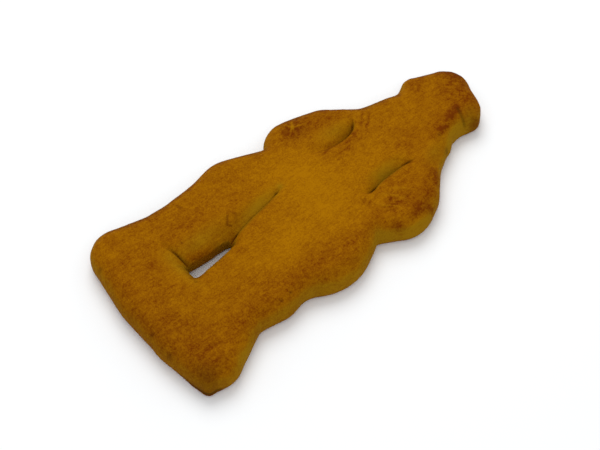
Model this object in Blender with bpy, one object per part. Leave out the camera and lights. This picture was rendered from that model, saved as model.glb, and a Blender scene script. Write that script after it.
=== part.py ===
"""A baked dough man lying face up, as one puffed, flat-bottomed piece of dough.

The figure is a skeleton of joints, seen from above, with a roll of dough from joint to joint.
The rolls' shared outline is traced, the rim is rounded off it, and the top rises from the rim
in a quarter round. Grooves press the creases in: one inside each arm, one between the thighs
and one above the feet. The shins stand apart, so a hole goes right through between them.
"""

import math
from collections import namedtuple

import bpy
import numpy as np
from mathutils import Vector
from mathutils.geometry import delaunay_2d_cdt

MM = 0.001

# Driving dimensions in millimetres. The head points to +Y and the face looks up along +Z.
LENGTH = 170.0
THICKNESS = 11.3
RIM_HEIGHT = 4.1
UNDERSIDE_TUCK = 1.5
ROUNDNESS = 2.1

# How far neighbouring rolls melt together at the outline, and how softly their height and
# edge width pass from one to the next.
ROLL_BLEND = 0.45
ROLL_SHARING = 1.5

# The walls round the hole between the shins, by the side of the hole that they are on.
LEFT_SHIN_WALL = 12.0
RIGHT_SHIN_WALL = 4.5
CROTCH_WALL = 5.5
FOOT_WALL = 4.5

# Places near the two outlines, where tracing starts.
BELOW_FEET = (0.0, -84.0)
HOLE_CENTRE = (-4.0, -48.0)

# Mesh sizes in millimetres and degrees.
TRACE_STEP = 0.8
EDGE_STEP = 2.3
HOLE_STEP = 1.3
EDGE_TURN = 20.0
GROOVE_MOUTH = 4.0
MOUTH_DENSITY = 3.0
TOP_STEP = 2.3
CREASE_STEP = 2.0
BASE_STEP = 6.0
GRID_HALF_WIDTH = 45.0
ROW_PITCH = math.sqrt(0.75)
RIM_INSETS = (0.15, 0.6, 1.4)
TUCK_ANGLES = (90.0, 60.0, 30.0, 0.0)
CREASE_OFFSETS = (0.5, 1.2, 2.3)
CREASE_MARGIN = 0.35
LEAST_SPACING = 0.55

# Small numbers for the outline's tracing and the triangulation.
SLOPE_STEP = 0.02
SMALLEST_GAP = 1e-6
MERGE_DISTANCE = 1e-5
SEEK_ROUNDS = 12
CLOSING_SHARE = 0.75
SETTLE_ROUNDS = 3

# The crust's colour in linear light, and how matt it is.
CRUST_COLOUR = (0.30, 0.105, 0.006, 1.0)
CRUST_ROUGHNESS = 0.75

# A joint is a place in the figure and the dough's half-width there. Left and right are as seen
# from above, so right is +X.
Joint = namedtuple("Joint", "x y radius")

JOINTS = {
    "crown": Joint(-5.3, 75.4, 9.3),
    "brow": Joint(3.6, 70.5, 10.2),
    "ear": Joint(-14.3, 65.9, 5.0),
    "cheek": Joint(10.9, 72.2, 3.7),
    "throat": Joint(-1.3, 60.5, 14.5),
    "collar": Joint(-0.5, 48.0, 17.6),
    "chest": Joint(0.0, 23.5, 14.4),
    "right shoulder": Joint(14.0, 37.0, 10.8),
    "right upper arm": Joint(22.4, 28.4, 10.4),
    "right elbow": Joint(24.4, 19.5, 11.5),
    "left shoulder": Joint(-12.2, 37.3, 9.1),
    "left upper arm": Joint(-21.6, 24.8, 10.4),
    "left elbow": Joint(-23.9, 11.1, 11.9),
    "right waist": Joint(14.5, 6.2, 13.1),
    "left waist": Joint(-14.7, 3.9, 12.3),
    "right hip": Joint(15.2, -14.0, 20.5),
    "right knee": Joint(12.9, -26.0, 17.2),
    "right calf": Joint(18.7, -39.9, 12.5),
    "right shin": Joint(14.0, -47.0, 15.4),
    "right ankle": Joint(14.0, -54.9, 14.6),
    "right heel": Joint(28.0, -72.5, 10.3),
    "right sole": Joint(12.7, -71.0, 13.6),
    "toe": Joint(34.3, -79.7, 2.4),
    "left hip": Joint(-22.0, -20.0, 14.8),
    "left thigh": Joint(-20.4, -29.9, 14.2),
    "left shin": Joint(-20.1, -45.1, 13.6),
    "left ankle": Joint(-20.9, -55.8, 13.5),
    "left heel": Joint(-27.4, -69.4, 11.1),
    "left sole": Joint(-6.4, -70.2, 13.9),
    "groin": Joint(-3.9, -9.8, 10.5),
    "crotch": Joint(-4.5, -32.4, 4.1),
}

# A roll runs from joint to joint. It has a share of the full thickness, and the distance that
# its edge takes to round over.
Roll = namedtuple("Roll", "start end plump reach")

ROLLS = (
    Roll("crown", "brow", 0.96, 5.5),
    Roll("crown", "throat", 0.97, 5.5),
    Roll("brow", "throat", 0.97, 6.0),
    Roll("ear", "throat", 0.94, 5.0),
    Roll("ear", "crown", 0.94, 5.0),
    Roll("cheek", "brow", 0.94, 5.5),
    Roll("throat", "collar", 0.98, 6.0),
    Roll("collar", "chest", 1.00, 6.5),
    Roll("chest", "right waist", 1.00, 7.0),
    Roll("chest", "left waist", 1.00, 7.0),
    Roll("left waist", "right waist", 1.00, 7.0),
    Roll("collar", "right shoulder", 0.98, 6.5),
    Roll("right shoulder", "right upper arm", 0.98, 6.0),
    Roll("right upper arm", "right elbow", 0.99, 6.5),
    Roll("right elbow", "right waist", 0.98, 6.5),
    Roll("collar", "left shoulder", 0.98, 5.5),
    Roll("left shoulder", "left upper arm", 0.98, 5.5),
    Roll("left upper arm", "left elbow", 0.98, 6.0),
    Roll("left elbow", "left waist", 0.98, 6.0),
    Roll("right waist", "right hip", 1.00, 7.0),
    Roll("right hip", "right knee", 1.00, 7.0),
    Roll("right knee", "right shin", 0.99, 6.5),
    Roll("right calf", "right shin", 0.98, 6.5),
    Roll("right shin", "right ankle", 0.98, 6.5),
    Roll("right ankle", "right sole", 0.98, 6.0),
    Roll("right ankle", "right heel", 0.96, 6.0),
    Roll("right heel", "right sole", 0.97, 6.0),
    Roll("toe", "right sole", 0.92, 5.5),
    Roll("right sole", "left sole", 0.98, 5.5),
    Roll("left sole", "left heel", 0.98, 5.5),
    Roll("left waist", "left hip", 1.00, 5.5),
    Roll("left hip", "left thigh", 1.00, 5.5),
    Roll("left thigh", "left shin", 1.00, 5.5),
    Roll("left shin", "left ankle", 0.99, 5.5),
    Roll("left ankle", "left heel", 0.99, 5.5),
    Roll("groin", "crotch", 1.00, 6.0),
)

# How many rolls meet at each joint.
ROLLS_AT = {name: sum(name in (roll.start, roll.end) for roll in ROLLS) for name in JOINTS}

# A groove follows its stations from one end to the other. Each station has its place, the
# height of its floor, and how far the wall takes to rise on the left hand and on the right
# hand of someone who walks along it. The steep wall is where the dough bulges over the crease.
Station = namedtuple("Station", "x y floor left right")

LEFT_ARM_SLIT = (
    Station(-16.2, 34.2, 10.8, 1.5, 2.0),
    Station(-14.7, 33.0, 9.2, 1.5, 4.0),
    Station(-12.9, 31.1, 7.2, 1.5, 6.0),
    Station(-12.1, 27.2, 7.0, 1.8, 6.5),
    Station(-11.8, 22.8, 8.2, 2.0, 6.5),
    Station(-12.4, 17.9, 9.4, 3.0, 6.0),
    Station(-13.8, 12.6, 10.3, 3.5, 5.5),
    Station(-15.5, 8.0, 10.9, 3.0, 5.0),
)

RIGHT_ARM_SLIT = (
    Station(14.0, 37.6, 10.8, 1.5, 2.0),
    Station(13.1, 35.6, 9.3, 1.5, 3.5),
    Station(12.5, 31.5, 7.6, 1.5, 5.0),
    Station(12.4, 25.8, 6.8, 1.6, 5.5),
    Station(12.7, 20.8, 6.8, 1.6, 5.0),
    Station(13.8, 16.4, 8.0, 1.5, 3.5),
    Station(14.2, 14.5, 9.4, 1.5, 2.5),
    Station(13.2, 13.2, 10.6, 1.5, 2.0),
)

THIGH_SLIT = (
    Station(-9.2, -9.0, 11.0, 1.5, 1.5),
    Station(-8.7, -10.6, 9.4, 1.5, 2.5),
    Station(-8.3, -12.8, 8.9, 1.8, 4.0),
    Station(-7.8, -16.0, 8.6, 2.0, 5.0),
    Station(-7.1, -23.5, 8.0, 2.5, 6.5),
    Station(-6.5, -29.0, 6.9, 3.0, 8.0),
    Station(-5.8, -33.6, 5.2, 3.5, 9.5),
    Station(-4.8, -37.4, RIM_HEIGHT, 5.0, 11.5),
)

FOOT_CREASE = (
    Station(-7.2, -54.8, RIM_HEIGHT, 3.5, 6.0),
    Station(-9.6, -55.3, 6.4, 2.5, 5.0),
    Station(-13.1, -55.9, 8.6, 2.0, 4.0),
    Station(-16.2, -56.7, 10.0, 2.0, 3.0),
    Station(-19.5, -58.0, 10.9, 1.5, 2.0),
)

GROOVES = (LEFT_ARM_SLIT, RIGHT_ARM_SLIT, THIGH_SLIT, FOOT_CREASE)


def clear_scene():
    """Remove whatever the scene starts with."""
    for item in list(bpy.data.objects):
        bpy.data.objects.remove(item, do_unlink=True)


def joint_swell(name, distance):
    """How far the blend of the rolls that share a joint lifts them at a distance from it."""
    fade = np.exp(-distance ** 2 / (2.0 * ROLL_BLEND * JOINTS[name].radius))
    return ROLL_BLEND * np.log1p((ROLLS_AT[name] - 1) * fade)


def roll_inset(points, roll):
    """How far each point lies inside the roll's edge, negative outside it.

    The roll is thinner near its joints by what the blend adds there, so that the blended
    outline keeps to the joints' own radii.
    """
    first = JOINTS[roll.start]
    second = JOINTS[roll.end]
    start = np.array((first.x, first.y))
    span = np.array((second.x, second.y)) - start
    length = math.hypot(*span)
    along = span / length
    across = np.array((along[1], -along[0]))
    side = np.abs((points - start) @ across)
    run = (points - start) @ along
    taper = (first.radius - second.radius) / length
    slope = math.sqrt(1.0 - taper * taper)
    foot = run * slope - side * taper
    at_start = np.hypot(side, run) - first.radius
    at_end = np.hypot(side, run - length) - second.radius
    between = side * slope + run * taper - first.radius
    outside = np.where(foot < 0.0, at_start, np.where(foot > slope * length, at_end, between))
    from_start = joint_swell(roll.start, np.maximum(run, 0.0))
    from_end = joint_swell(roll.end, np.maximum(length - run, 0.0))
    return -outside - np.maximum(from_start, from_end)


def roll_insets(points):
    return np.array([roll_inset(points, roll) for roll in ROLLS])


def body_inset(points):
    """How far each point lies inside the whole figure, with the rolls blended together."""
    insets = roll_insets(points)
    deepest = insets.max(axis=0)
    shares = np.exp((insets - deepest) / ROLL_BLEND).sum(axis=0)
    return deepest + ROLL_BLEND * np.log(shares)


def inward(points):
    """The gradient of the inset: it points into the dough."""
    step_x = np.array((SLOPE_STEP, 0.0))
    step_y = np.array((0.0, SLOPE_STEP))
    slope_x = body_inset(points + step_x) - body_inset(points - step_x)
    slope_y = body_inset(points + step_y) - body_inset(points - step_y)
    return np.stack((slope_x, slope_y), axis=1) / (2.0 * SLOPE_STEP)


def settle(points, rounds=SETTLE_ROUNDS):
    """Move points near the outline onto it."""
    for _ in range(rounds):
        slope = inward(points)
        size = (slope * slope).sum(axis=1)
        points = points - slope * (body_inset(points) / size)[:, None]
    return points


def walk_outline(seed):
    """Follow the outline once round from near the seed, until the start is a step away."""
    first = settle(np.array([seed]), rounds=SEEK_ROUNDS)
    trail = [first[0]]
    here = first
    while True:
        slope = inward(here)[0]
        ahead = np.array((slope[1], -slope[0])) / math.hypot(*slope)
        here = settle(here + TRACE_STEP * ahead)
        left_start = len(trail) > 2
        if left_start and np.hypot(*(here[0] - trail[0])) < CLOSING_SHARE * TRACE_STEP:
            return np.array(trail)
        trail.append(here[0])


def thin_out(trail, step):
    """Keep points of a closed trail a step apart, closer where it turns or meets a groove."""
    ahead = np.roll(trail, -1, axis=0) - trail
    lengths = np.hypot(ahead[:, 0], ahead[:, 1])
    heading = np.arctan2(ahead[:, 1], ahead[:, 0])
    turn = np.roll(heading, -1) - heading
    turn = np.abs((turn + math.pi) % (2.0 * math.pi) - math.pi)
    ends = np.array([(line[-1].x, line[-1].y) for line in GROOVES]
                    + [(line[0].x, line[0].y) for line in GROOVES])
    closeness = np.clip(1.0 - nearest(trail, ends)[0] / GROOVE_MOUTH, 0.0, 1.0)
    worth = lengths / step * (1.0 + MOUTH_DENSITY * closeness) + turn / math.radians(EDGE_TURN)
    marks = np.concatenate(((0.0,), np.cumsum(worth)))
    count = int(round(marks[-1]))
    wanted = np.arange(count) * marks[-1] / count
    closed = np.vstack((trail, trail[:1]))
    picked = [np.interp(wanted, marks, closed[:, axis]) for axis in (0, 1)]
    return settle(np.stack(picked, axis=1))


def quarter_round(share):
    """Height share of a rounded edge at the given share of its width."""
    left = 1.0 - np.clip(share, 0.0, 1.0)
    return (1.0 - left ** ROUNDNESS) ** (1.0 / ROUNDNESS)


def nearest(points, trail):
    """Distance to the trail's nearest point, and the direction from it."""
    gaps = points[:, None, :] - trail[None, :, :]
    distances = np.hypot(gaps[..., 0], gaps[..., 1])
    index = distances.argmin(axis=1)
    rows = np.arange(len(points))
    distance = distances[rows, index]
    direction = gaps[rows, index] / np.maximum(distance, SMALLEST_GAP)[:, None]
    return distance, direction


def groove_height(points, stations, plateau):
    """Height of the top where a groove is pressed into the plateau."""
    lowest = plateau.copy()
    line = np.array(stations)
    closest = np.full(len(points), np.inf)
    for first, second in zip(line[:-1], line[1:]):
        span = second[:2] - first[:2]
        length = math.hypot(*span)
        along = span / length
        run = np.clip((points - first[:2]) @ along / length, 0.0, 1.0)
        offset = points - (first[:2] + run[:, None] * span)
        distance = np.hypot(offset[:, 0], offset[:, 1])
        on_left = along[0] * offset[:, 1] - along[1] * offset[:, 0] > 0.0
        floor = first[2] + run * (second[2] - first[2])
        left = first[3] + run * (second[3] - first[3])
        right = first[4] + run * (second[4] - first[4])
        reach = np.where(on_left, left, right)
        share = np.clip(distance / reach, 0.0, 1.0)
        height = floor + (plateau - floor) * np.sin(0.5 * math.pi * share)
        closer = distance < closest
        lowest = np.where(closer, np.minimum(height, plateau), lowest)
        closest = np.where(closer, distance, closest)
    return lowest


class Dough:
    """The figure's outlines and the height of its top."""

    def __init__(self):
        outer = walk_outline(BELOW_FEET)
        hole = walk_outline(HOLE_CENTRE)
        self.trails = (outer, hole)
        self.loops = (thin_out(outer, EDGE_STEP), thin_out(hole, HOLE_STEP))

    def edge_distance(self, points):
        return np.minimum(nearest(points, self.trails[0])[0], nearest(points, self.trails[1])[0])

    def plateau_and_reach(self, points):
        """Full height and edge width at each point, shared between the rolls there."""
        insets = roll_insets(points)
        weights = np.exp((insets - insets.max(axis=0)) / ROLL_SHARING)
        weights = weights / weights.sum(axis=0)
        plump = weights.T @ np.array([roll.plump for roll in ROLLS])
        reach = weights.T @ np.array([roll.reach for roll in ROLLS])
        return THICKNESS * plump, reach

    def inner(self, points, margin):
        """The points that lie in the dough, further than the margin from its outlines."""
        points = points[self.edge_distance(points) > margin]
        return points[body_inset(points) > 0.0]

    def top(self, points):
        """Height of the upper surface."""
        plateau, reach = self.plateau_and_reach(points)
        outer_distance, _ = nearest(points, self.trails[0])
        hole_distance, away = nearest(points, self.trails[1])
        left = np.minimum(away[:, 0], 0.0) ** 2 * LEFT_SHIN_WALL
        right = np.maximum(away[:, 0], 0.0) ** 2 * RIGHT_SHIN_WALL
        below = np.minimum(away[:, 1], 0.0) ** 2 * FOOT_WALL
        above = np.maximum(away[:, 1], 0.0) ** 2 * CROTCH_WALL
        hole_reach = left + right + below + above
        rise = plateau - RIM_HEIGHT
        height = RIM_HEIGHT + rise * quarter_round(outer_distance / reach)
        at_hole = RIM_HEIGHT + rise * quarter_round(hole_distance / hole_reach)
        height = np.minimum(height, at_hole)
        for stations in GROOVES:
            height = np.minimum(height, groove_height(points, stations, plateau))
        return height


def encloses(loop, points):
    """Which points lie inside a closed loop."""
    inside = np.zeros(len(points), dtype=bool)
    x, y = points.T
    for (x0, y0), (x1, y1) in zip(loop, np.roll(loop, -1, axis=0)):
        level = (y0 > y) != (y1 > y)
        if y0 != y1:
            inside ^= level & (x < x0 + (y - y0) * (x1 - x0) / (y1 - y0))
    return inside


def centre_line(stations):
    """Evenly spaced points along a groove, and the direction across it."""
    line = np.array(stations)[:, :2]
    steps = np.hypot(*np.diff(line, axis=0).T)
    marks = np.concatenate(((0.0,), np.cumsum(steps)))
    count = int(round(marks[-1] / CREASE_STEP)) + 1
    wanted = np.linspace(0.0, marks[-1], count)
    places = np.stack([np.interp(wanted, marks, line[:, axis]) for axis in (0, 1)], axis=1)
    ahead = np.gradient(places, axis=0)
    ahead = ahead / np.hypot(ahead[:, 0], ahead[:, 1])[:, None]
    across = np.stack((-ahead[:, 1], ahead[:, 0]), axis=1)
    return places, across


def grid_points(step):
    """A triangular grid of points over the figure's box."""
    half_length = LENGTH / 2.0 + step
    rows = int(2.0 * half_length / (step * ROW_PITCH))
    columns = int(2.0 * GRID_HALF_WIDTH / step)
    places = []
    for row in range(rows):
        shift = 0.5 * step * (row % 2)
        y = -half_length + row * step * ROW_PITCH
        places += [(shift - GRID_HALF_WIDTH + column * step, y) for column in range(columns)]
    return np.array(places)


class Shell:
    """The closed surface, gathered as vertices and faces."""

    def __init__(self):
        self.vertices = []
        self.faces = []

    def add_points(self, flat, heights):
        start = len(self.vertices)
        self.vertices += [(x, y, z) for (x, y), z in zip(flat, heights)]
        return list(range(start, len(self.vertices)))

    def band(self, lower, upper):
        """Quads between two loops of the same length."""
        count = len(lower)
        for i in range(count):
            j = (i + 1) % count
            self.faces.append((lower[i], lower[j], upper[j], upper[i]))

    def fill(self, rings, loose, creases, upward):
        """Triangles between the two rings, through the loose points and along the creases."""
        indices = [index for ring in rings for index in ring] + list(loose)
        slot = {index: place for place, index in enumerate(indices)}
        edges = []
        for ring in rings:
            edges += [(slot[a], slot[b]) for a, b in zip(ring, ring[1:] + ring[:1])]
        for crease in creases:
            edges += [(slot[a], slot[b]) for a, b in zip(crease[:-1], crease[1:])]
        flat = [Vector(self.vertices[index][:2]) for index in indices]
        inside_only = 1
        result = delaunay_2d_cdt(flat, edges, [], inside_only, MERGE_DISTANCE)
        places, triangles, sources = np.array(result[0]), np.array(result[2]), result[3]
        in_hole = encloses(np.array([self.vertices[index][:2] for index in rings[1]]),
                           places[triangles].mean(axis=1))
        for triangle in triangles[~in_hole]:
            corners = [indices[sources[corner][0]] for corner in triangle]
            if not upward:
                corners.reverse()
            self.faces.append(tuple(corners))


def add_rim(shell, dough, loop):
    """The rounded rim along one outline. Returns its lowest and its highest ring."""
    slope = inward(loop)
    slope = slope / np.hypot(slope[:, 0], slope[:, 1])[:, None]
    rings = []
    for angle in TUCK_ANGLES:
        turn = math.radians(angle)
        flat = loop + slope * UNDERSIDE_TUCK * (1.0 - math.cos(turn))
        height = RIM_HEIGHT * (1.0 - math.sin(turn))
        rings.append(shell.add_points(flat, np.full(len(loop), height)))
    for inset in RIM_INSETS:
        flat = loop + slope * inset
        rings.append(shell.add_points(flat, dough.top(flat)))
    for lower, upper in zip(rings[:-1], rings[1:]):
        shell.band(lower, upper)
    return rings[0], rings[-1]


def add_creases(shell, dough):
    """Vertices along each groove and beside it."""
    creases = []
    beside = []
    margin = RIM_INSETS[-1] + CREASE_MARGIN
    for stations in GROOVES:
        places, across = centre_line(stations)
        inside = dough.inner(places, margin)
        creases.append(shell.add_points(inside, dough.top(inside)))
        for offset in CREASE_OFFSETS:
            for sign in (-1.0, 1.0):
                flat = dough.inner(places + sign * offset * across, margin)
                beside += shell.add_points(flat, dough.top(flat))
    return creases, beside


def spaced(points, others, gap):
    """The points that keep the gap to all the others."""
    return points[nearest(points, others)[0] > gap]


def build_shell():
    dough = Dough()
    shell = Shell()
    rims = [add_rim(shell, dough, loop) for loop in dough.loops]
    lowest = [rim[0] for rim in rims]
    highest = [rim[1] for rim in rims]

    creases, beside = add_creases(shell, dough)
    pressed = [index for crease in creases for index in crease] + beside
    taken = np.array([shell.vertices[index][:2] for index in pressed])
    field = dough.inner(grid_points(TOP_STEP), RIM_INSETS[-1] + 0.5 * TOP_STEP)
    field = spaced(field, taken, LEAST_SPACING * TOP_STEP)
    loose = shell.add_points(field, dough.top(field))
    shell.fill(highest, loose + pressed, creases, True)

    under = dough.inner(grid_points(BASE_STEP), UNDERSIDE_TUCK + 0.5 * BASE_STEP)
    floor = shell.add_points(under, np.zeros(len(under)))
    shell.fill(lowest, floor, [], False)
    return shell


def fit_to_length(vertices):
    """Scale the plan to the full length and centre it over the origin."""
    places = np.array(vertices)
    low = places.min(axis=0)
    high = places.max(axis=0)
    middle = 0.5 * (low + high)
    scale = LENGTH / (high[1] - low[1])
    places[:, 0] = (places[:, 0] - middle[0]) * scale
    places[:, 1] = (places[:, 1] - middle[1]) * scale
    return places * MM


def crust_material():
    """Golden-brown baked dough."""
    material = bpy.data.materials.new("baked_crust")
    material.use_nodes = True
    shader = material.node_tree.nodes["Principled BSDF"]
    shader.inputs["Base Color"].default_value = CRUST_COLOUR
    shader.inputs["Roughness"].default_value = CRUST_ROUGHNESS
    shader.inputs["Metallic"].default_value = 0.0
    return material


def make_dough_man():
    shell = build_shell()
    mesh = bpy.data.meshes.new("dough_man")
    mesh.from_pydata(fit_to_length(shell.vertices).tolist(), [], shell.faces)
    mesh.validate()
    mesh.shade_smooth()
    mesh.materials.append(crust_material())
    figure = bpy.data.objects.new("dough_man", mesh)
    bpy.context.scene.collection.objects.link(figure)


clear_scene()
make_dough_man()
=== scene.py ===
"""The baked dough man in a plain studio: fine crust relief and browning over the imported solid.

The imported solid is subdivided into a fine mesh, which then takes the crust's relief: soft lumps,
brush streaks, wrinkles, pits and the tight lines of the creases. The same places drive how brown,
pale or dark the crust is. Lengths are in millimetres until a mesh or an object is made from them.
Left and right are as seen from above with the head up, and the near side faces the camera.
"""

import math
from collections import namedtuple

import bmesh
import bpy
import numpy as np
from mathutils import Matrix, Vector, noise


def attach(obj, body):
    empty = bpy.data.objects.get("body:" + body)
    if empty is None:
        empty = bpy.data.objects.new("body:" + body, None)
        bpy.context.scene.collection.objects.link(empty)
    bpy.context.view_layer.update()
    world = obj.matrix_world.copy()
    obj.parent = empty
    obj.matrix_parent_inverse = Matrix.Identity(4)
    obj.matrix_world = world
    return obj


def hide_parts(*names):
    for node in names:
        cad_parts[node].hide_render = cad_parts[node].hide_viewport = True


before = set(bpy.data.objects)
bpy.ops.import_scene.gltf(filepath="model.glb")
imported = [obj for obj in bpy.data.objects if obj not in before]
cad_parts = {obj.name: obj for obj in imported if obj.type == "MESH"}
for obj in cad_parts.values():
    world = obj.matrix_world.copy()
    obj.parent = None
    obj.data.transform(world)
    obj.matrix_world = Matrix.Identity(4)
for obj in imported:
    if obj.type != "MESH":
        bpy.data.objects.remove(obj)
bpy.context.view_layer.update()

MM = 0.001
NODE = "dough_man"

# The camera: what it looks at, and from where. Azimuth 0 looks along +Y and 90 along -X.
LOOK_AT = (2.35, -9.49, 0.0)
AZIMUTH = 48.04
ELEVATION = 53.0
DISTANCE = 484.4
FIELD_OF_VIEW = 26.0
SENSOR_WIDTH = 36.0

# The studio: an even white surround, a broad key light high over the far side, and a weaker
# fill light over the near side. A direction points from the figure to the lamp.
SURROUND_STRENGTH = 0.65
LAMP_DISTANCE = 900.0
LAMP_SIZE = 700.0
KEY_DIRECTION = (-0.40, 0.22, 0.66)
KEY_POWER = 3.83
FILL_DIRECTION = (0.45, -0.40, 0.85)
FILL_POWER = 1.05
FLOOR_SIZE = 6000.0
FLOOR_COLOUR = (0.958, 0.972, 0.982, 1.0)
WHITE = (1.0, 1.0, 1.0, 1.0)

# The fine mesh. Corners closer than the weld distance become one, and two triangles become one
# four-sided face unless they bend or skew by more than these angles, in radians.
WELD_DISTANCE = 0.001
MOST_BEND = 0.7
MOST_SKEW = 0.9
SUBDIVISIONS = 2

# Faces within this reach of a narrow mark are split once more. A mark is narrow up to this
# half-width.
REFINE_REACH = 1.3
NARROW = 0.6

# Crust colours in linear light.
GOLDEN = (0.365, 0.145, 0.0006, 1.0)
PALE = (0.290, 0.144, 0.0030, 1.0)
BROWN = (0.150, 0.030, 0.0006, 1.0)
DARK = (0.050, 0.022, 0.0020, 1.0)

# The least and the most that the mesh stores of brown, pale and dark. At the least the browning
# gives the golden colour, and at the most the brown one.
LEAST_STORED = -0.2
MOST_STORED = 1.25

# How far the material's noise swings the browning. Coarse noise and mottling swing it more where
# the crust is browner.
COARSE_SWING = 1.3
MOTTLE_SWING = 1.7
STROKE_SWING = 0.9
FRECKLE_SWING = 1.7
SWING_BY_BROWN = 0.6
SWING_LEAST = 0.25

# Strokes run along Y. Specks show where their noise is high.
STROKE_STRETCH = (1.0, 0.22, 1.0)
SPECK_RANGE = (0.55, 0.80)
SPECK_BROWN = 0.3

# The material's fine bumps, its roughness over the range of the mottling, and its slight shine.
BUMP_STRENGTH = 0.4
BUMP_HEIGHT = 0.18
MOTTLE_RANGE = (0.2, 0.8)
ROUGHNESS = (0.62, 0.82)
SHINE = 0.01

# Noise in the crust: how large its features are along X, Y and Z, how many layers of ever finer
# noise it has, and a shift that sets it apart from the others.
Field = namedtuple("Field", "sizes layers shift")
LUMPS = Field((13.0, 13.0, 13.0), 2, 3.1)
STREAKS = Field((1.6, 5.5, 3.0), 3, 17.3)
GRAIN = Field((1.3, 1.3, 1.3), 3, 41.7)
BLOTCHES = Field((7.0, 9.0, 7.0), 3, 71.9)

# Each layer's features are half as large and half as strong as the last one's: the ratio of
# sizes, and the power of it that the strength falls by.
LAYER_RATIO = 2.0
LAYER_POWER = 1.0

# How high the noise stands, and how far it browns the crust.
LUMP_RISE = 0.13
STREAK_RISE = 0.05
GRAIN_RISE = 0.030
STREAK_BROWN = 0.08
BLOTCH_BROWN = 0.12

# Pits scattered over the top.
PIT_COUNT = 420
PIT_SIZES = (0.35, 0.8)
PIT_DEPTHS = (0.04, 0.16)
PIT_SEED = 11

# The heights over the underside where relief starts and where it is full.
RELIEF_FROM = 0.4
RELIEF_FULL = 2.5

# What the smoothing takes off the sides is put back.
SIDE_SWELL = 0.16

# The upward part of a face's normal is 1 on the level top, 0 on a wall and -1 underneath. In each
# pair a face starts to count at the first value and counts in full at the second: as the top, as
# one that takes marks, and as one that isn't the underside.
TOP_FACES = (0.35, 0.9)
MARKED_FACES = (0.0, 0.5)
UPPER_FACES = (-0.6, -0.2)

# The same for the side, by how far a face leans out from level. Blotches make its edge ragged.
SIDE_FACES = (0.15, 0.60)
SIDE_RAGGEDNESS = 0.15

# The slopes that face the far side, in plan: browned more, and darkened by painted shade.
FAR_SIDE = (-0.74, 0.67)
FAR_FACES = (0.30, 0.70)

# The foot of the side: browned on the tray, and painted with the warm shade low in the hole and the
# creases. It is full below the first height and ends at the second.
FOOT_HEIGHTS = (0.3, 2.8)

# A tint says how much something browns, pales and darkens the crust.
Tint = namedtuple("Tint", "brown pale dark")
SIDE_TINT = Tint(-0.35, 0.85, 0.0)
FAR_BROWN_AND_SHADE = Tint(0.35, 0.0, 0.30)
FOOT_BROWN_AND_SHADE = Tint(0.7, -0.6, 0.0)

# How brown the crust is where nothing changes it.
USUAL_BROWN = 0.40

# The thin lip of dough under the right toe, from its faint end to its full one, and the painted shade
# in the seam above it. The lip fades in over a share of its length, and is full up to a share of its
# height.
LIP = ((18.0, -84.3), (23.8, -83.7), (28.6, -83.2), (32.9, -82.4), (35.8, -82.1), (36.8, -79.8),
       (37.3, -78.1))
LIP_REACH = 2.2
LIP_PUSH = 0.5
LIP_HEIGHT = 2.2
LIP_FADE = 0.6
LIP_FULL = 0.6 * LIP_HEIGHT
LIP_TINT = Tint(0.8, -1.0, 0.0)
SEAM_HEIGHT = 1.2 * LIP_HEIGHT
SEAM_THICKNESS = 0.3 * LIP_HEIGHT
SEAM_SHADE = Tint(0.0, 0.0, 0.6)

# A mark is a line on the top. It has the places that it runs through, a half-width, how far it raises
# the crust or presses it in, how much it browns, pales and darkens it, and the share of its length
# over which each end fades.
Mark = namedtuple("Mark", "points width rise brown pale dark fade")

# The fade starts just past a mark's end, by this share of its length.
PAST_END = -0.02


def alike(lines, width, rise, brown, pale, dark, fade):
    """Marks that differ only in where they run."""
    return tuple(Mark(points, width, rise, brown, pale, dark, fade) for points in lines)


# The slits inside the left and the right arm, the slit between the thighs, and the crease where the
# base stands over the left shin. Their dark lines are painted shade down in the slits.
CREASES = (
    Mark(((-16.1, 34.4), (-14.6, 33.2), (-12.8, 31.2), (-12.0, 27.3), (-11.7, 22.9)),
         0.40, -0.30, 0.4, 0.0, 0.55, 0.25),
    Mark(((14.1, 37.8), (13.2, 35.8), (12.6, 31.6), (12.5, 25.9), (12.8, 20.9), (13.9, 16.5),
          (14.3, 14.6)), 0.40, -0.35, 0.4, 0.0, 0.55, 0.12),
    Mark(((-8.6, -10.6), (-8.2, -12.8), (-7.7, -16.0), (-7.0, -23.5), (-6.4, -29.0), (-5.7, -33.6),
          (-4.7, -37.5)), 0.35, -0.25, 0.4, 0.0, 0.40, 0.06),
    Mark(((-7.1, -54.9), (-9.5, -55.4), (-13.0, -56.0), (-16.1, -56.8)),
         0.40, -0.25, 0.4, 0.0, 0.35, 0.4),
)

# Soft banks that narrow the slits of the right arm and the thighs.
BANKS = (
    Mark(((13.2, 35.8), (12.6, 31.6), (12.5, 25.9), (12.8, 20.9), (13.9, 16.5)),
         1.4, 0.45, -0.1, 0.3, 0.0, 0.2),
    Mark(((-8.6, -10.6), (-7.7, -16.0), (-7.0, -23.5), (-6.4, -29.0), (-5.7, -33.6)),
         1.4, 0.45, -0.2, 0.4, 0.0, 0.1),
)

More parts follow.
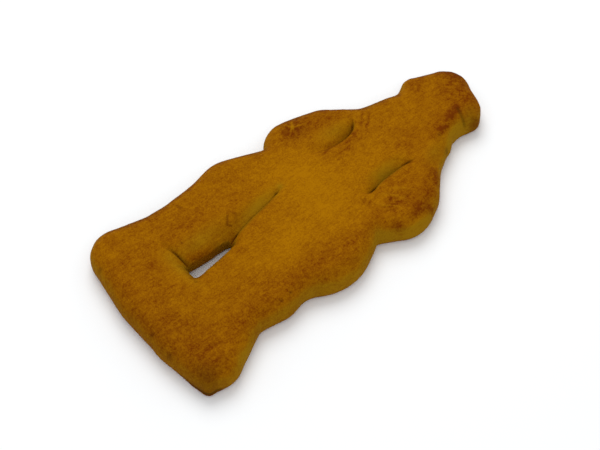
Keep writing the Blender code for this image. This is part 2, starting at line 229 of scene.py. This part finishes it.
# Short lines on the knees, the shins and the base. Their darkening is painted shade in the small
# folds.
LEG_LINES = (
    Mark(((1.9, -58.0), (3.0, -59.4)), 0.5, -0.30, 0.2, 0.0, 0.30, 0.3),
    Mark(((-13.5, -30.9), (-11.5, -28.7), (-8.0, -31.7)), 0.5, 0.15, 0.3, 0.0, 0.10, 0.3),
    Mark(((-13.5, -30.9), (-10.0, -33.8), (-8.0, -31.7)), 0.5, -0.20, 0.4, 0.0, 0.20, 0.3),
    Mark(((-29.0, -42.7), (-25.0, -42.2)), 0.6, -0.15, 0.4, 0.0, 0.15, 0.4),
    Mark(((-14.2, -51.0), (-14.0, -52.6)), 0.5, -0.15, 0.3, 0.0, 0.25, 0.4),
    Mark(((27.7, -37.6), (27.9, -35.6)), 0.5, -0.20, 0.3, 0.0, 0.35, 0.4),
    Mark(((27.6, -42.0), (29.0, -40.6)), 0.5, -0.20, 0.3, 0.0, 0.30, 0.4),
)

# The pale star on the left elbow.
STAR = (
    Mark(((-32.4, 17.0), (-28.0, 13.8), (-23.4, 12.0)), 0.6, 0.28, -1.0, 0.2, -0.12, 0.4),
    Mark(((-29.4, 16.5), (-27.4, 12.5), (-25.0, 10.0)), 0.5, 0.22, -0.8, 0.1, -0.08, 0.4),
    Mark(((-33.4, 12.5), (-28.0, 13.8), (-26.4, 20.0)), 0.5, 0.22, -0.9, 0.1, -0.08, 0.4),
)

# Brown lines pressed into the left arm and the chest beside it.
ARM_LINES = (
    Mark(((-18.0, 41.5), (-13.0, 36.5), (-10.0, 32.5)), 0.7, -0.16, 0.6, 0.0, 0.02, 0.4),
    Mark(((-15.5, 42.5), (-11.0, 38.0), (-8.5, 33.5)), 0.6, -0.16, 0.6, 0.0, 0.02, 0.4),
    Mark(((-11.5, 33.0), (-9.0, 27.0), (-8.5, 21.0)), 0.7, -0.16, 0.5, 0.0, 0.02, 0.4),
    Mark(((-8.0, 30.0), (-6.5, 23.0), (-6.5, 15.0)), 0.6, -0.14, 0.4, 0.0, 0.0, 0.4),
    Mark(((-14.0, 21.0), (-11.5, 17.0), (-9.5, 11.0)), 0.7, -0.16, 0.55, 0.0, 0.02, 0.4),
)

# The pale waves of the right forearm.
WAVES = alike((
    ((16.1, 14.0), (19.6, 19.0), (25.1, 22.0), (28.6, 20.0)),
    ((17.6, 11.0), (22.1, 13.6), (26.1, 17.5), (30.1, 16.5)),
    ((17.1, 20.0), (21.1, 24.5), (25.6, 28.0)),
), 0.6, 0.18, -0.35, 0.2, 0.0, 0.4)

# The brown lines pressed between the waves.
FOREARM_LINES = alike((
    ((24.9, 21.2), (25.1, 23.6), (24.7, 26.6)),
    ((24.0, 17.5), (24.9, 19.2), (25.5, 21.2)),
    ((22.4, 15.0), (24.2, 16.3), (25.8, 18.8)),
    ((24.5, 11.9), (25.8, 14.7), (28.0, 15.6)),
    ((20.4, 19.0), (21.9, 18.0), (22.8, 16.1)),
), 0.5, -0.18, 0.40, 0.0, 0.04, 0.3) + (
    Mark(((17.4, 16.5), (21.0, 20.5), (23.6, 23.0)), 0.5, -0.15, 0.30, 0.0, 0.02, 0.4),
    Mark(((22.2, 12.1), (23.9, 14.5), (25.3, 16.2)), 0.5, -0.18, 0.35, 0.0, 0.02, 0.3),
)

# Two strokes beside the slit of the right arm, and the soft hollow under its elbow.
ELBOW_LINES = alike((
    ((14.8, 11.8), (17.4, 8.5)),
    ((16.8, 12.2), (19.6, 9.0)),
), 0.6, -0.20, 0.45, 0.0, 0.05, 0.4) + (
    Mark(((33.1, 1.2), (29.0, 5.5), (24.6, 7.0)), 1.1, -0.30, 0.0, 0.3, 0.0, 0.4),
)

# The brown ridge down the neck, and the fold under the cheek, whose dark line is painted shade under
# the cheek's edge.
NECK_LINES = (
    Mark(((5.2, 71.3), (7.7, 64.8), (10.2, 59.3), (12.0, 53.1)), 1.5, 0.30, 0.80, -0.5, 0.08, 0.2),
    Mark(((5.9, 69.1), (9.7, 67.7), (15.2, 66.1)), 0.6, -0.50, 0.1, 0.1, 0.40, 0.2),
)

# Brown strokes on the right foot and the right shoulder.
BROWN_STROKES = (
    Mark(((28.8, -66.0), (27.1, -71.0), (25.6, -77.5)), 0.9, -0.20, 0.30, 0.0, 0.03, 0.4),
    Mark(((24.4, -60.0), (24.0, -66.0), (22.0, -72.0)), 0.8, -0.15, 0.15, 0.0, 0.0, 0.4),
    Mark(((19.9, 40.8), (24.8, 39.4), (28.6, 35.2)), 1.3, 0.10, 0.35, 0.0, 0.05, 0.3),
)

# Brush strokes on the forehead.
FOREHEAD_STROKES = alike((
    ((-2.0, 74.0), (3.5, 78.0)),
    ((-1.0, 71.5), (4.5, 74.5)),
    ((0.0, 69.5), (5.5, 71.0)),
), 0.6, -0.08, 0.25, 0.0, 0.0, 0.4)

MARKS = (CREASES + BANKS + LEG_LINES + STAR + ARM_LINES + WAVES + FOREARM_LINES + ELBOW_LINES
         + NECK_LINES + BROWN_STROKES + FOREHEAD_STROKES)

# A patch is a soft oval that browns, pales or darkens the crust. It has its middle, its reach across
# and along, and how many degrees it is turned anticlockwise.
Patch = namedtuple("Patch", "x y across along turn brown pale dark")

PATCHES = (
    # Golden middles of the belly, chest, neck and right thigh.
    Patch(-2.4, 0.0, 22.0, 11.0, 0.0, -0.43, 0.0, 0.0),
    Patch(2.6, 22.0, 9.0, 16.0, 0.0, -0.20, 0.0, 0.0),
    Patch(-3.4, 56.0, 8.0, 11.0, 0.0, -0.05, 0.0, 0.0),
    Patch(10.6, -22.0, 7.5, 16.0, 0.0, -0.36, 0.0, 0.0),
    # Browned head, cheek and neck.
    Patch(-0.4, 79.0, 13.0, 8.0, 0.0, 0.40, 0.0, 0.02),
    Patch(-6.2, 81.4, 5.5, 3.5, 0.0, 0.45, 0.0, 0.10),
    Patch(6.8, 74.4, 4.5, 5.0, 0.0, 0.25, 0.0, 0.0),
    Patch(0.8, 68.0, 9.0, 6.0, 0.0, 0.22, 0.0, 0.0),
    Patch(-12.6, 66.0, 3.0, 4.0, 0.0, 0.35, 0.0, 0.0),
    Patch(8.6, 57.0, 2.6, 8.0, 14.0, 0.35, 0.0, 0.0),
    Patch(6.6, 45.0, 5.0, 7.0, 0.0, 0.20, 0.0, 0.0),
    Patch(15.4, 70.8, 1.8, 3.2, 0.0, 0.80, -0.6, 0.30),
    # Browned arms and elbows.
    Patch(-27.6, 14.0, 4.8, 4.6, 0.0, 1.00, 0.0, 0.14),
    Patch(-25.0, 26.0, 6.0, 9.0, 0.0, 0.30, 0.0, 0.0),
    Patch(-27.0, 3.0, 5.0, 8.0, 0.0, 0.20, 0.0, 0.0),
    Patch(-9.4, 24.0, 3.5, 12.0, 0.0, 0.20, 0.0, 0.0),
    Patch(24.6, 35.5, 5.5, 3.5, -45.0, 0.40, 0.0, 0.03),
    Patch(30.6, 26.0, 2.8, 7.0, 0.0, 0.40, 0.0, 0.04),
    Patch(32.4, 21.5, 1.4, 3.6, 8.0, 0.70, 0.0, 0.08),
    Patch(33.0, 26.8, 1.0, 1.4, 0.0, 0.60, 0.0, 0.10),
    Patch(31.2, 12.0, 1.3, 2.8, -42.0, 0.75, 0.0, 0.08),
    Patch(22.6, 25.0, 7.0, 9.0, 0.0, 0.15, 0.0, 0.0),
    # Pale side of the right elbow.
    Patch(36.4, 16.0, 2.6, 10.0, 0.0, -0.50, 0.50, 0.0),
    Patch(32.0, 6.0, 2.6, 5.0, -42.0, -0.45, 0.45, 0.0),
    # Browned hip, legs and base.
    Patch(25.6, -18.0, 3.5, 26.0, 0.0, 0.38, 0.0, 0.0),
    Patch(32.0, -22.0, 3.5, 24.0, 0.0, 0.05, 0.10, 0.05),
    Patch(17.6, -45.0, 6.0, 8.0, 0.0, 0.20, 0.0, 0.0),
    Patch(25.6, -60.0, 7.0, 18.0, 0.0, 0.20, 0.0, 0.02),
    # The darkening in this patch is painted shade: the base gets darker towards its front.
    Patch(18.0, -76.0, 15.0, 8.0, 0.0, 0.06, 0.0, 0.06),
    Patch(-20.4, -48.0, 7.0, 14.0, 0.0, 0.20, -0.2, 0.0),
    Patch(-32.4, -42.0, 3.0, 20.0, 0.0, 0.30, 0.0, 0.04),
    Patch(-8.4, -66.0, 8.0, 5.0, 0.0, 0.22, 0.0, 0.0),
    Patch(3.6, -76.0, 32.0, 6.0, 0.0, 0.20, 0.0, 0.0),
    # The darkening in these two patches along the base's front is painted shade.
    Patch(0.0, -85.0, 38.0, 4.5, 0.0, 0.35, -0.4, 0.16),
    Patch(34.5, -80.5, 6.5, 4.5, 0.0, 0.20, -0.4, 0.40),
    Patch(34.0, -72.0, 3.5, 5.0, 0.0, 0.30, -0.4, 0.08),
    # Pale slopes of the neck, the slits, the shin and the foot.
    Patch(13.8, 60.3, 2.8, 6.0, 10.0, -0.60, 0.90, 0.0),
    # This patch, paled and darkened, paints the shade on the slope of the cheek.
    Patch(11.6, 71.5, 3.8, 4.0, 0.0, -0.15, 0.50, 0.15),
    Patch(16.6, 46.0, 3.0, 6.0, 20.0, -0.20, 0.50, 0.08),
    Patch(-16.6, 25.0, 3.2, 7.5, -6.0, -0.35, 0.60, 0.0),
    Patch(9.8, 26.0, 2.2, 8.0, 0.0, -0.35, 0.70, 0.0),
    Patch(-9.6, -20.0, 2.0, 9.0, 6.0, -0.55, 0.80, 0.0),
    Patch(-9.6, -8.6, 1.4, 1.4, 0.0, -0.20, 0.80, 0.0),
    Patch(-11.4, -46.0, 4.0, 11.0, 0.0, -0.35, 0.70, 0.0),
    Patch(-6.4, -59.0, 9.0, 2.8, 0.0, -0.45, 0.70, 0.0),
    Patch(36.0, -62.0, 3.0, 7.0, 0.0, -0.35, 0.50, 0.0),
    # Painted warm shade on the wall of the hole: browner and less pale.
    Patch(-7.2, -48.0, 1.3, 8.5, -12.0, 0.55, -0.9, 0.0),
)

# A spot is a small dark speck. It reaches three times as far up and down as across.
Spot = namedtuple("Spot", "x y z size brown pale dark")
SPOT_HEIGHT = 3.0

SPOTS = (
    # This spot is painted shade in the small pit at the top of the slit between the thighs.
    Spot(-8.7, -11.6, 10.5, 0.7, 0.0, 0.0, 0.55),
    Spot(17.9, 52.6, 8.0, 0.9, 0.2, 0.0, 0.80),
    Spot(11.8, 53.6, 10.0, 0.8, 0.4, 0.0, 0.35),
    Spot(-0.2, 7.0, 11.0, 0.7, 0.4, 0.0, 0.30),
    Spot(-25.4, -80.0, 9.0, 0.9, 0.3, 0.0, 0.30),
    Spot(18.6, -83.5, 8.0, 0.9, 0.3, 0.0, 0.30),
    Spot(8.6, -83.0, 8.0, 0.9, 0.3, 0.0, 0.30),
)

# A swell moves the side wall near a place outwards, or inwards where the push is negative.
Swell = namedtuple("Swell", "x y reach push")

SWELLS = (
    Swell(34.9, 26.5, 6.0, 0.8),
    Swell(-33.5, 21.0, 6.0, 0.5),
    Swell(-19.5, 45.0, 6.0, 0.6),
    Swell(17.0, 56.0, 2.2, 0.6),
    Swell(-4.2, -40.0, 3.0, -0.45),
)


def smooth_step(values, low, high):
    """Rises smoothly from 0 at the low value to 1 at the high one."""
    share = np.clip((values - low) / (high - low), 0.0, 1.0)
    return share * share * (3.0 - 2.0 * share)


def fall_off(gap, reach):
    """Falls smoothly from 1 at no gap, through about a third at the reach, towards 0."""
    return np.exp(-(gap / reach) ** 2)


def distance_to_line(flat, points):
    """Distance from each place to a line, and how far along the line that is, from 0 to 1."""
    line = np.array(points)
    steps = np.hypot(*np.diff(line, axis=0).T)
    starts = np.concatenate(((0.0,), np.cumsum(steps)[:-1]))
    best = np.full(len(flat), np.inf)
    along = np.zeros(len(flat))
    for first, second, length, start in zip(line[:-1], line[1:], steps, starts):
        span = (second - first) / length
        run = np.clip((flat - first) @ span, 0.0, length)
        gap = np.hypot(*(flat - first - run[:, None] * span).T)
        closer = gap < best
        best = np.where(closer, gap, best)
        along = np.where(closer, (start + run) / steps.sum(), along)
    return best, along


def mark_strength(flat, mark):
    gap, along = distance_to_line(flat, mark.points)
    ends = smooth_step(np.minimum(along, 1.0 - along), PAST_END, mark.fade)
    return fall_off(gap, mark.width) * ends


def patch_strength(flat, patch):
    turn = math.radians(patch.turn)
    offset = flat - np.array((patch.x, patch.y))
    across = offset[:, 0] * math.cos(turn) + offset[:, 1] * math.sin(turn)
    along = offset[:, 1] * math.cos(turn) - offset[:, 0] * math.sin(turn)
    return fall_off(across, patch.across) * fall_off(along, patch.along)


def spot_strength(places, spot):
    offset = (places - np.array((spot.x, spot.y, spot.z))) / np.array((1.0, 1.0, SPOT_HEIGHT))
    return fall_off(np.linalg.norm(offset, axis=1), spot.size)


def noise_field(places, field):
    """The field's noise at each place, about 0."""
    scaled = places / np.array(field.sizes) + field.shift
    return np.array([noise.fractal(Vector(place), LAYER_POWER, LAYER_RATIO, field.layers)
                     for place in scaled])


def pit_relief(flat):
    rng = np.random.default_rng(PIT_SEED)
    low, high = flat.min(axis=0), flat.max(axis=0)
    relief = np.zeros(len(flat))
    for _ in range(PIT_COUNT):
        centre = rng.uniform(low, high)
        size = rng.uniform(*PIT_SIZES)
        depth = rng.uniform(*PIT_DEPTHS)
        relief -= depth * fall_off(np.hypot(*(flat - centre).T), size)
    return relief


def fine_mesh():
    """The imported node's surface as a fine, smooth mesh, finer still along narrow marks."""
    solid = bmesh.new()
    solid.from_mesh(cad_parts[NODE].data)
    bmesh.ops.remove_doubles(solid, verts=solid.verts, dist=WELD_DISTANCE * MM)
    bmesh.ops.join_triangles(solid, faces=solid.faces, angle_face_threshold=MOST_BEND,
                             angle_shape_threshold=MOST_SKEW)
    rough = bpy.data.meshes.new("rough")
    solid.to_mesh(rough)
    solid.free()
    holder = bpy.data.objects.new("rough", rough)
    bpy.context.scene.collection.objects.link(holder)
    subdivide = holder.modifiers.new("smooth", "SUBSURF")
    subdivide.levels = SUBDIVISIONS
    subdivide.render_levels = SUBDIVISIONS
    graph = bpy.context.evaluated_depsgraph_get()
    mesh = bpy.data.meshes.new_from_object(holder.evaluated_get(graph))
    bpy.data.objects.remove(holder)
    refine(mesh)
    return mesh


def refine(mesh):
    """Splits the faces near a narrow mark, above the height where relief is full."""
    fine = bmesh.new()
    fine.from_mesh(mesh)
    fine.verts.ensure_lookup_table()
    places = np.array([vertex.co for vertex in fine.verts]) / MM
    near = np.zeros(len(places), dtype=bool)
    for mark in MARKS:
        if mark.width <= NARROW:
            near |= distance_to_line(places[:, :2], mark.points)[0] < REFINE_REACH
    near &= places[:, 2] > RELIEF_FULL
    edges = [edge for edge in fine.edges if all(near[vertex.index] for vertex in edge.verts)]
    bmesh.ops.subdivide_edges(fine, edges=edges, cuts=1, use_grid_fill=True)
    fine.to_mesh(mesh)
    fine.free()


def read_vectors(collection, name):
    values = np.zeros(len(collection) * 3, dtype=np.float32)
    collection.foreach_get(name, values)
    return values.reshape(-1, 3).astype(float)


class Crust:
    """The fine mesh's vertices, and how brown, pale and dark each one is.

    The relief moves a vertex along its normal, and the push moves it outwards in plan.
    """

    def __init__(self, mesh):
        self.places = read_vectors(mesh.vertices, "co") / MM
        self.normals = read_vectors(mesh.vertex_normals, "vector")
        self.flat = self.places[:, :2]
        self.height = self.places[:, 2]
        self.upward = self.normals[:, 2]
        self.top = smooth_step(self.upward, *TOP_FACES)
        self.relief = np.zeros(len(self.places))
        self.push = np.zeros(len(self.places))
        self.brown = np.full(len(self.places), USUAL_BROWN)
        self.pale = np.zeros(len(self.places))
        self.dark = np.zeros(len(self.places))

    def tint(self, strength, tint):
        """Browns, pales and darkens the crust as a tint, mark, patch or spot says."""
        self.brown += tint.brown * strength
        self.pale += tint.pale * strength
        self.dark += tint.dark * strength

    def store(self, mesh):
        """Moves the mesh's vertices, and stores how brown, pale and dark they are."""
        clear = smooth_step(self.height, RELIEF_FROM, RELIEF_FULL)
        moved = self.places + self.normals * (self.relief * clear)[:, None]
        moved[:, :2] += self.normals[:, :2] * self.push[:, None]
        mesh.vertices.foreach_set("co", (moved * MM).astype(np.float32).ravel())
        for name, values in (("brown", self.brown), ("pale", self.pale), ("dark", self.dark)):
            stored = np.clip(values, LEAST_STORED, MOST_STORED).astype(np.float32)
            mesh.attributes.new(name, "FLOAT", "POINT").data.foreach_set("value", stored)
        mesh.update()


def add_unevenness(crust):
    """Lumps, streaks, grain and pits, the colours of the top, the side and the foot, and painted
    shade on the far slopes.
    """
    lumps = noise_field(crust.places, LUMPS)
    streaks = noise_field(crust.places, STREAKS)
    grain = noise_field(crust.places, GRAIN)
    blotches = noise_field(crust.places, BLOTCHES)
    on_top = LUMP_RISE * lumps + STREAK_RISE * streaks + pit_relief(crust.flat)
    crust.relief += crust.top * on_top + GRAIN_RISE * grain
    crust.relief += SIDE_SWELL * (1.0 - crust.top)
    crust.brown += BLOTCH_BROWN * blotches + STREAK_BROWN * streaks

    lean = 1.0 - crust.upward + SIDE_RAGGEDNESS * blotches
    crust.tint(smooth_step(lean, *SIDE_FACES), SIDE_TINT)
    # Painted shade, with some browning, on the slopes that face the far side.
    far = crust.normals[:, :2] @ np.array(FAR_SIDE)
    crust.tint(smooth_step(far, *FAR_FACES), FAR_BROWN_AND_SHADE)
    # Browning of the foot, partly painted warm shade low down in the hole and the creases.
    crust.tint(1.0 - smooth_step(crust.height, *FOOT_HEIGHTS), FOOT_BROWN_AND_SHADE)


def add_marks(crust):
    marked = smooth_step(crust.upward, *MARKED_FACES)
    for mark in MARKS:
        strength = mark_strength(crust.flat, mark) * marked
        crust.relief += mark.rise * strength
        # In the creases and folds, a mark's darkening is painted shade.
        crust.tint(strength, mark)


def add_patches(crust):
    upper = smooth_step(crust.upward, *UPPER_FACES)
    for patch in PATCHES:
        crust.tint(patch_strength(crust.flat, patch) * upper, patch)


def add_spots(crust):
    for spot in SPOTS:
        crust.tint(spot_strength(crust.places, spot), spot)


def add_lip(crust):
    gap, along = distance_to_line(crust.flat, LIP)
    lip = fall_off(gap, LIP_REACH) * smooth_step(along, 0.0, LIP_FADE)
    under = lip * (1.0 - smooth_step(crust.height, LIP_FULL, LIP_HEIGHT))
    crust.push += LIP_PUSH * under
    crust.tint(under, LIP_TINT)
    # Painted shade in the seam above the lip.
    crust.tint(lip * fall_off(crust.height - SEAM_HEIGHT, SEAM_THICKNESS), SEAM_SHADE)


def add_swells(crust):
    for swell in SWELLS:
        gap = np.hypot(crust.flat[:, 0] - swell.x, crust.flat[:, 1] - swell.y)
        crust.push += swell.push * fall_off(gap, swell.reach) * (1.0 - crust.top)


class Nodes:
    """Short calls for a material's node tree."""

    def __init__(self, tree):
        self.tree = tree

    def add(self, kind, **settings):
        node = self.tree.nodes.new(kind)
        for name, value in settings.items():
            setattr(node, name, value)
        return node

    def link(self, source, target):
        self.tree.links.new(source, target)

    def attribute(self, name):
        return self.add("ShaderNodeAttribute", attribute_name=name).outputs["Fac"]

    def noise(self, vector, size, detail, distortion=0.0):
        """Noise with features of about the given size in millimetres."""
        node = self.add("ShaderNodeTexNoise")
        node.inputs["Scale"].default_value = 1.0 / (size * MM)
        node.inputs["Detail"].default_value = detail
        node.inputs["Distortion"].default_value = distortion
        self.link(vector, node.inputs["Vector"])
        return node.outputs["Fac"]

    def stretch(self, vector, scale):
        node = self.add("ShaderNodeMapping")
        node.inputs["Scale"].default_value = scale
        self.link(vector, node.inputs["Vector"])
        return node.outputs["Vector"]

    def ramp(self, value, low, high, to_low=0.0, to_high=1.0):
        """Takes the range from low to high over to the other range."""
        node = self.add("ShaderNodeMapRange", interpolation_type="LINEAR")
        node.inputs["From Min"].default_value = low
        node.inputs["From Max"].default_value = high
        node.inputs["To Min"].default_value = to_low
        node.inputs["To Max"].default_value = to_high
        self.link(value, node.inputs["Value"])
        return node.outputs["Result"]

    def math(self, operation, *values):
        node = self.add("ShaderNodeMath", operation=operation)
        for socket, value in zip(node.inputs, values):
            if isinstance(value, float):
                socket.default_value = value
            else:
                self.link(value, socket)
        return node.outputs["Value"]

    def swing(self, value, gain):
        """Noise about its middle, times a gain."""
        return self.math("MULTIPLY_ADD", value, gain, -0.5 * gain)

    def mix(self, share, first, second):
        node = self.add("ShaderNodeMix", data_type="RGBA")
        sockets = [socket for socket in node.inputs if socket.enabled]
        for socket, value in zip(sockets, (share, first, second)):
            if isinstance(value, (float, tuple)):
                socket.default_value = value
            else:
                self.link(value, socket)
        return [socket for socket in node.outputs if socket.enabled][0]


def crust_material():
    """Baked crust: golden, browned in blotches, paler on the sides, with fine pores."""
    material = bpy.data.materials.new("baked_crust_fine")
    material.use_nodes = True
    tree = Nodes(material.node_tree)
    shader = material.node_tree.nodes["Principled BSDF"]
    place = tree.add("ShaderNodeTexCoord").outputs["Object"]

    brown = tree.attribute("brown")
    coarse = tree.noise(place, size=4.0, detail=2.0, distortion=0.4)
    mottle = tree.noise(place, size=1.3, detail=2.5, distortion=0.3)
    stroke = tree.noise(tree.stretch(place, STROKE_STRETCH), size=0.8, detail=2.0)
    freckle = tree.noise(place, size=0.5, detail=2.0)
    speck = tree.noise(place, size=0.9, detail=1.0)
    specks = tree.ramp(speck, *SPECK_RANGE, to_high=SPECK_BROWN)
    uneven = tree.math("ADD", tree.swing(coarse, COARSE_SWING), tree.swing(mottle, MOTTLE_SWING))
    gain = tree.math("MULTIPLY_ADD", brown, SWING_BY_BROWN, SWING_LEAST)
    browning = tree.math("MULTIPLY_ADD", uneven, gain, brown)
    browning = tree.math("ADD", browning, tree.swing(stroke, STROKE_SWING))
    browning = tree.math("ADD", browning, tree.swing(freckle, FRECKLE_SWING))
    browning = tree.math("MULTIPLY_ADD", specks, brown, browning)

    colour = tree.mix(tree.attribute("pale"), GOLDEN, PALE)
    colour = tree.mix(tree.ramp(browning, LEAST_STORED, MOST_STORED), colour, BROWN)
    colour = tree.mix(tree.attribute("dark"), colour, DARK)
    tree.link(colour, shader.inputs["Base Color"])

    pores = tree.noise(place, size=0.35, detail=4.0)
    bump = tree.add("ShaderNodeBump")
    bump.inputs["Strength"].default_value = BUMP_STRENGTH
    bump.inputs["Distance"].default_value = BUMP_HEIGHT * MM
    tree.link(tree.math("ADD", mottle, pores), bump.inputs["Height"])
    tree.link(bump.outputs["Normal"], shader.inputs["Normal"])

    tree.link(tree.ramp(mottle, *MOTTLE_RANGE, *ROUGHNESS), shader.inputs["Roughness"])
    shader.inputs["Specular IOR Level"].default_value = SHINE
    return material


def make_crust():
    mesh = fine_mesh()
    crust = Crust(mesh)
    add_unevenness(crust)
    add_marks(crust)
    add_patches(crust)
    add_spots(crust)
    add_lip(crust)
    add_swells(crust)
    crust.store(mesh)
    mesh.shade_smooth()
    mesh.materials.append(crust_material())
    piece = bpy.data.objects.new("crust", mesh)
    bpy.context.scene.collection.objects.link(piece)
    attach(piece, "root")
    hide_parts(NODE)


def floor_material():
    """A matt, nearly white floor."""
    material = bpy.data.materials.new("floor")
    material.use_nodes = True
    shader = material.node_tree.nodes["Principled BSDF"]
    shader.inputs["Base Color"].default_value = FLOOR_COLOUR
    shader.inputs["Roughness"].default_value = 1.0
    shader.inputs["Specular IOR Level"].default_value = 0.0
    return material


def make_floor():
    half = 0.5 * FLOOR_SIZE * MM
    corners = [(-half, -half, 0.0), (half, -half, 0.0), (half, half, 0.0), (-half, half, 0.0)]
    mesh = bpy.data.meshes.new("floor")
    mesh.from_pydata(corners, [], [(0, 1, 2, 3)])
    mesh.materials.append(floor_material())
    floor = bpy.data.objects.new("floor", mesh)
    bpy.context.scene.collection.objects.link(floor)


def aim(thing, target):
    """Turns a camera or a lamp towards a place."""
    thing.rotation_euler = (Vector(target) - thing.location).to_track_quat("-Z", "Y").to_euler()


def make_camera():
    turn, rise = math.radians(AZIMUTH), math.radians(ELEVATION)
    back = Vector((math.sin(turn) * math.cos(rise), -math.cos(turn) * math.cos(rise), math.sin(rise)))
    data = bpy.data.cameras.new("camera")
    data.sensor_width = SENSOR_WIDTH
    data.lens = 0.5 * SENSOR_WIDTH / math.tan(math.radians(0.5 * FIELD_OF_VIEW))
    camera = bpy.data.objects.new("camera", data)
    bpy.context.scene.collection.objects.link(camera)
    target = Vector(LOOK_AT) * MM
    camera.location = target + back * DISTANCE * MM
    aim(camera, target)
    bpy.context.scene.camera = camera


def make_lamp(name, direction, power):
    """A broad round lamp that shines on the figure from the given direction."""
    data = bpy.data.lights.new(name, "AREA")
    data.shape = "DISK"
    data.size = LAMP_SIZE * MM
    data.energy = power
    lamp = bpy.data.objects.new(name, data)
    bpy.context.scene.collection.objects.link(lamp)
    lamp.location = Vector(direction).normalized() * LAMP_DISTANCE * MM
    aim(lamp, (0.0, 0.0, 0.0))


def make_light():
    world = bpy.data.worlds.new("surround")
    world.use_nodes = True
    background = world.node_tree.nodes["Background"]
    background.inputs["Color"].default_value = WHITE
    background.inputs["Strength"].default_value = SURROUND_STRENGTH
    bpy.context.scene.world = world
    make_lamp("key", KEY_DIRECTION, KEY_POWER)
    make_lamp("fill", FILL_DIRECTION, FILL_POWER)
    bpy.context.scene.view_settings.view_transform = "Standard"


make_camera()
make_light()
make_floor()
make_crust()
